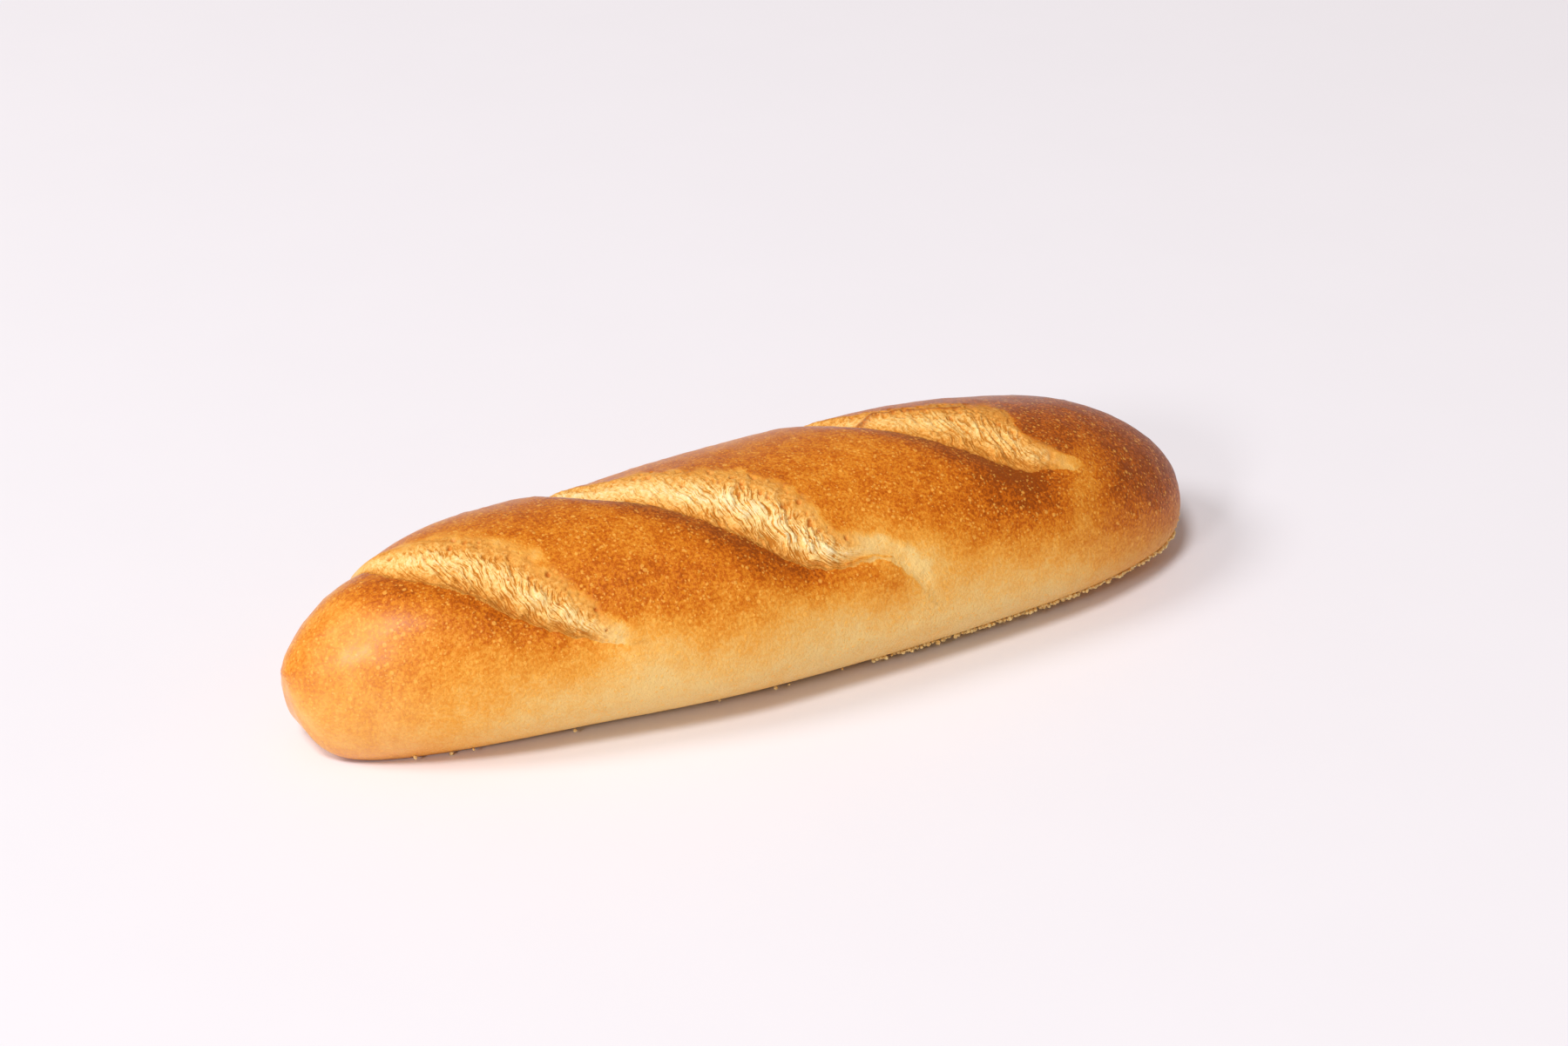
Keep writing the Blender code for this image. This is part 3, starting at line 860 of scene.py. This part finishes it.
def grain_group():
    """Fine mottling and scattered pale specks of a baked surface, as shares from 0 to 1."""
    group = bpy.data.node_groups.new("baked_grain", "ShaderNodeTree")
    group.interface.new_socket("Vector", in_out="INPUT", socket_type="NodeSocketVector")
    for name, value in (("Mottle Scale", 1000.0), ("Speck Scale", 1500.0), ("Speck Size", 0.4)):
        socket = group.interface.new_socket(name, in_out="INPUT", socket_type="NodeSocketFloat")
        socket.default_value = value
    for name in ("Mottle", "Specks"):
        group.interface.new_socket(name, in_out="OUTPUT", socket_type="NodeSocketFloat")
    given = add_node(group, "NodeGroupInput", (-900, 0))
    result = add_node(group, "NodeGroupOutput", (500, 0))
    links = group.links
    mottle = add_node(group, "ShaderNodeTexNoise", (-600, 200), Detail=3.0, Roughness=0.65)
    links.new(given.outputs["Vector"], mottle.inputs["Vector"])
    links.new(given.outputs["Mottle Scale"], mottle.inputs["Scale"])
    links.new(range_node(group, (-300, 200), mottle.outputs["Fac"], 0.30, 0.70), result.inputs["Mottle"])
    warp = add_node(group, "ShaderNodeVectorMath", (-700, -200), operation="MULTIPLY_ADD")
    links.new(mottle.outputs["Color"], warp.inputs[0])
    warp.inputs[1].default_value = (SPECK_WARP, SPECK_WARP, SPECK_WARP)
    links.new(given.outputs["Vector"], warp.inputs[2])
    spots = add_node(group, "ShaderNodeTexVoronoi", (-500, -200))
    links.new(warp.outputs[0], spots.inputs["Vector"])
    links.new(given.outputs["Speck Scale"], spots.inputs["Scale"])
    chance = add_node(group, "ShaderNodeSeparateColor", (-300, -400))
    links.new(spots.outputs["Color"], chance.inputs[0])
    radius = math_node(group, (-100, -400), "MULTIPLY", chance.outputs[0], given.outputs["Speck Size"])
    share = math_node(group, (0, -200), "DIVIDE", spots.outputs["Distance"], radius)
    links.new(range_node(group, (200, -200), share, 1.0, SPECK_RIM), result.inputs["Specks"])
    return group


def place_grain(tree, place, coordinates, mottle_scale, speck_scale, speck_size=0.4):
    """The grain group in a material, with its own scales."""
    made = add_node(tree, "ShaderNodeGroup", place)
    made.node_tree = bpy.data.node_groups["baked_grain"]
    made.inputs["Mottle Scale"].default_value = mottle_scale
    made.inputs["Speck Scale"].default_value = speck_scale
    made.inputs["Speck Size"].default_value = speck_size
    tree.links.new(coordinates, made.inputs["Vector"])
    return made.outputs["Mottle"], made.outputs["Specks"]


def new_material(name, roughness):
    """A new material, its node tree and its shader."""
    material = bpy.data.materials.new(name)
    material.use_nodes = True
    shader = material.node_tree.nodes["Principled BSDF"]
    shader.inputs["Roughness"].default_value = roughness
    return material, material.node_tree, shader


CRUST_STOPS = (
    (0.00, linear(243, 203, 128)),
    (0.20, linear(242, 186, 98)),
    (0.40, linear(238, 164, 63)),
    (0.62, linear(221, 132, 30)),
    (0.80, linear(196, 98, 7)),
    (1.00, linear(150, 68, 0)),
)
CRUMB_STOPS = (
    (0.00, linear(200, 124, 40)),
    (0.28, linear(232, 166, 78)),
    (0.62, linear(249, 208, 132)),
    (1.00, linear(254, 233, 182)),
)
# painted shade: pores are darkened to a browner colour in their hollows
PORE_SHADE_COLOUR, PORE_SHADE_MIX = linear(214, 130, 48), 0.75
SPECK_COLOUR, SPECK_MIX = linear(255, 188, 84), 0.60

# The crust's fine and broad grain: scales of mottle and specks, and the specks' size; how far the
# specks' edges wander and how soft they are; and how much the mottles change how browned, how rough
# and how glossy the crust is, and how pale the crumb is
FINE_GRAIN, BROAD_GRAIN = (1500.0, 1250.0, 0.44), (260.0, 560.0, 0.32)
SPECK_WARP, SPECK_RIM = 0.0008, 0.55
MOTTLE_LEAST, MOTTLE_WITH_BAKE = 0.10, 0.25
BROAD_MOTTLE = 0.14
SMOOTH_CRUST, MOTTLE_ROUGHNESS, CRUMB_ROUGHNESS = 0.34, 0.12, 0.85
CRUMB_MOTTLE = 0.34
GLOSS_BROKEN = (0.45, 1.15)

# Gaps between strands: how many to a metre along the lip, how drawn out they are, how much of the
# noise is a gap, how much painted shade darkens them, and how deep beside the mottle and the specks
HAIR_PITCH = 1500.0
HAIR_STRETCH = 6.0
HAIR_GAPS = (0.52, 0.36)
HAIR_GAP_SHADE = 0.72
HAIR_RELIEF = 2.0
SPECK_RELIEF = 0.5
RELIEF_DEPTH = 0.00011

SEMOLINA_COLOUR, SEMOLINA_COLOUR_TOO = linear(244, 200, 118), linear(255, 236, 172)
SEMOLINA_GRAIN = (1500.0, 900.0)
FLOOR_GRAIN = (20.0, 60.0)


def hair_of(tree):
    """Thin gaps between the strands of torn crumb, along each strand's own way."""
    along = attribute_of(tree, (-2300, -500), "along")
    over = attribute_of(tree, (-2300, -700), "over")
    way = add_node(tree, "ShaderNodeCombineXYZ", (-2000, -600))
    tree.links.new(math_node(tree, (-2150, -500), "MULTIPLY", along, HAIR_PITCH), way.inputs[0])
    tree.links.new(math_node(tree, (-2150, -700), "MULTIPLY", over, HAIR_STRETCH), way.inputs[1])
    lines = add_node(tree, "ShaderNodeTexNoise", (-1800, -600), Scale=1.0, Detail=2.5, Roughness=0.6)
    tree.links.new(way.outputs[0], lines.inputs["Vector"])
    gaps = range_node(tree, (-1600, -600), lines.outputs["Fac"], *HAIR_GAPS)
    return math_node(tree, (-1450, -600), "MULTIPLY", gaps, attribute_of(tree, (-1600, -800), "hair"))


def crust_material():
    """Browned crust and torn crumb in one finish, told apart by the mesh's attributes."""
    material, tree, shader = new_material("baked_crust", 0.48)
    shader.inputs["Specular IOR Level"].default_value = 0.16
    shader.inputs["Coat Roughness"].default_value = 0.36
    shader.inputs["Subsurface Weight"].default_value = 0.06
    shader.inputs["Subsurface Radius"].default_value = (0.9, 0.45, 0.2)
    shader.inputs["Subsurface Scale"].default_value = 0.0025
    links = tree.links
    place = add_node(tree, "ShaderNodeTexCoord", (-1900, 0)).outputs["Object"]
    mottle, specks = place_grain(tree, (-1600, 200), place, *FINE_GRAIN)
    broad_mottle, big_specks = place_grain(tree, (-1600, -100), place, *BROAD_GRAIN)
    crumb = attribute_of(tree, (-1600, -400), "crumb")
    strand = attribute_of(tree, (-1600, -600), "strand")
    pore = attribute_of(tree, (-1600, -900), "pore")
    bake = attribute_of(tree, (-1600, 500), "bake")
    gloss = attribute_of(tree, (-500, -200), "gloss")
    broken = range_node(tree, (-500, -50), mottle, 0.0, 1.0, *GLOSS_BROKEN)
    links.new(math_node(tree, (-200, -200), "MULTIPLY", gloss, broken), shader.inputs["Coat Weight"])

    strength = math_node(tree, (-1500, 650), "MULTIPLY_ADD", bake, MOTTLE_WITH_BAKE, MOTTLE_LEAST)
    level = math_node(tree, (-1400, 450), "SUBTRACT", mottle, 0.5)
    level = math_node(tree, (-1250, 500), "MULTIPLY", level, strength)
    level = math_node(tree, (-1100, 500), "ADD", level, bake)
    broad = math_node(tree, (-1300, 300), "MULTIPLY_ADD", broad_mottle, BROAD_MOTTLE, -BROAD_MOTTLE / 2)
    level = math_node(tree, (-900, 500), "ADD", level, broad)
    browned = ramp_node(tree, (-700, 500), level, CRUST_STOPS)
    all_specks = math_node(tree, (-1300, 100), "MAXIMUM", specks, big_specks)
    speck_share = math_node(tree, (-1100, 100), "MULTIPLY", all_specks, SPECK_MIX)
    browned = mix_colours(tree, (-400, 400), speck_share, browned, SPECK_COLOUR)

    hair = hair_of(tree)
    # painted shade in the gaps between strands
    tone = math_node(tree, (-1300, -500), "MULTIPLY", hair, HAIR_GAP_SHADE)
    tone = math_node(tree, (-1200, -500), "SUBTRACT", strand, tone)
    dimples = math_node(tree, (-1200, -350), "MULTIPLY_ADD", mottle, CRUMB_MOTTLE, -CRUMB_MOTTLE / 2)
    tone = math_node(tree, (-1100, -500), "ADD", tone, dimples)
    crumb_colour = ramp_node(tree, (-700, -400), tone, CRUMB_STOPS)
    colour = mix_colours(tree, (-200, 200), crumb, browned, crumb_colour)
    # painted shade in the pores' hollows
    pore_shade = math_node(tree, (-400, -700), "MULTIPLY", pore, PORE_SHADE_MIX)
    colour = mix_colours(tree, (0, 100), pore_shade, colour, PORE_SHADE_COLOUR)
    links.new(colour, shader.inputs["Base Color"])

    crust_roughness = math_node(tree, (-700, 0), "MULTIPLY_ADD", mottle, MOTTLE_ROUGHNESS, SMOOTH_CRUST)
    rough = add_node(tree, "ShaderNodeMix", (-200, -100), data_type="FLOAT")
    links.new(crumb, rough.inputs[0])
    links.new(crust_roughness, rough.inputs[2])
    rough.inputs[3].default_value = CRUMB_ROUGHNESS
    links.new(rough.outputs[0], shader.inputs["Roughness"])

    relief = math_node(tree, (-800, -200), "MULTIPLY_ADD", all_specks, SPECK_RELIEF, mottle)
    grooves = math_node(tree, (-800, -350), "MULTIPLY", hair, HAIR_RELIEF)
    relief = math_node(tree, (-650, -200), "SUBTRACT", relief, grooves)
    bump = add_node(tree, "ShaderNodeBump", (0, -300), Strength=0.7, Distance=RELIEF_DEPTH)
    links.new(relief, bump.inputs["Height"])
    links.new(bump.outputs[0], shader.inputs["Normal"])
    return material


def semolina_material():
    """Pale yellow grains, a little glassy."""
    material, tree, shader = new_material("semolina", 0.5)
    place = add_node(tree, "ShaderNodeTexCoord", (-900, 0)).outputs["Object"]
    mottle, _ = place_grain(tree, (-700, 0), place, *SEMOLINA_GRAIN)
    colour = mix_colours(tree, (-300, 0), mottle, SEMOLINA_COLOUR, SEMOLINA_COLOUR_TOO)
    tree.links.new(colour, shader.inputs["Base Color"])
    return material


def floor_material():
    """Plain pale floor with the faintest unevenness."""
    material, tree, shader = new_material("pale_floor", 0.75)
    shader.inputs["Specular IOR Level"].default_value = 0.2
    place = add_node(tree, "ShaderNodeTexCoord", (-900, 0)).outputs["Object"]
    mottle, _ = place_grain(tree, (-700, 0), place, *FLOOR_GRAIN)
    colour = mix_colours(tree, (-300, 0), mottle, FLOOR_COLOUR, FLOOR_COLOUR_TOO)
    tree.links.new(colour, shader.inputs["Base Color"])
    return material


# Floor, light and camera


def make_floor():
    """The round floor under the loaf, for the photo's scene only."""
    bm = bmesh.new()
    bmesh.ops.create_circle(bm, cap_ends=True, radius=FLOOR_SIZE / 2, segments=64)
    bmesh.ops.translate(bm, verts=bm.verts, vec=(0, 0, cad_box[0][2]))
    mesh = bpy.data.meshes.new("floor")
    bm.to_mesh(mesh)
    bm.free()
    mesh.materials.append(floor_material())
    floor = bpy.data.objects.new("floor", mesh)
    bpy.context.scene.collection.objects.link(floor)


def aimed(obj, place, target):
    """Puts a lamp or the camera in its place and turns it to the target."""
    obj.location = place
    obj.rotation_euler = (Vector(place) - target).to_track_quat("Z", "Y").to_euler()
    bpy.context.scene.collection.objects.link(obj)


def camera_axes():
    """The camera's right and the way it faces, level, and the way back from the target to it."""
    turn, rise = np.radians(CAMERA_TURN), np.radians(CAMERA_RISE)
    right = Vector((np.cos(turn), -np.sin(turn), 0))
    ahead = Vector((np.sin(turn), np.cos(turn), 0))
    back = -ahead * np.cos(rise) + Vector((0, 0, np.sin(rise)))
    return right, ahead, back


def light_and_camera():
    """The lamps, the sky and the photo's camera."""
    right, ahead, back = camera_axes()
    middle = Vector((0, 0, HEIGHT / 2))
    for lamp in LAMPS:
        data = bpy.data.lights.new(lamp.name, "AREA")
        data.shape = "DISK"
        data.size = lamp.size
        data.energy = lamp.watts
        data.color = lamp.colour
        way = (right * lamp.right + ahead * lamp.away + Vector((0, 0, lamp.up))).normalized()
        aimed(bpy.data.objects.new(lamp.name, data), middle + way * lamp.distance, middle)
    sky = bpy.data.worlds.new("soft_sky")
    sky.use_nodes = True
    sky.node_tree.nodes["Background"].inputs["Color"].default_value = SKY_COLOUR
    sky.node_tree.nodes["Background"].inputs["Strength"].default_value = SKY_STRENGTH
    bpy.context.scene.world = sky
    camera = bpy.data.cameras.new("camera")
    camera.lens = CAMERA_LENS
    camera.sensor_width = 36.0
    camera.sensor_fit = "HORIZONTAL"
    camera.clip_start = 0.01
    holder = bpy.data.objects.new("camera", camera)
    aimed(holder, CAMERA_TARGET + back * CAMERA_DISTANCE, CAMERA_TARGET)
    bpy.context.scene.camera = holder
    bpy.context.scene.view_settings.view_transform = "Standard"


grain_group()
make_floor()
make_grains(*make_crust())
light_and_camera()
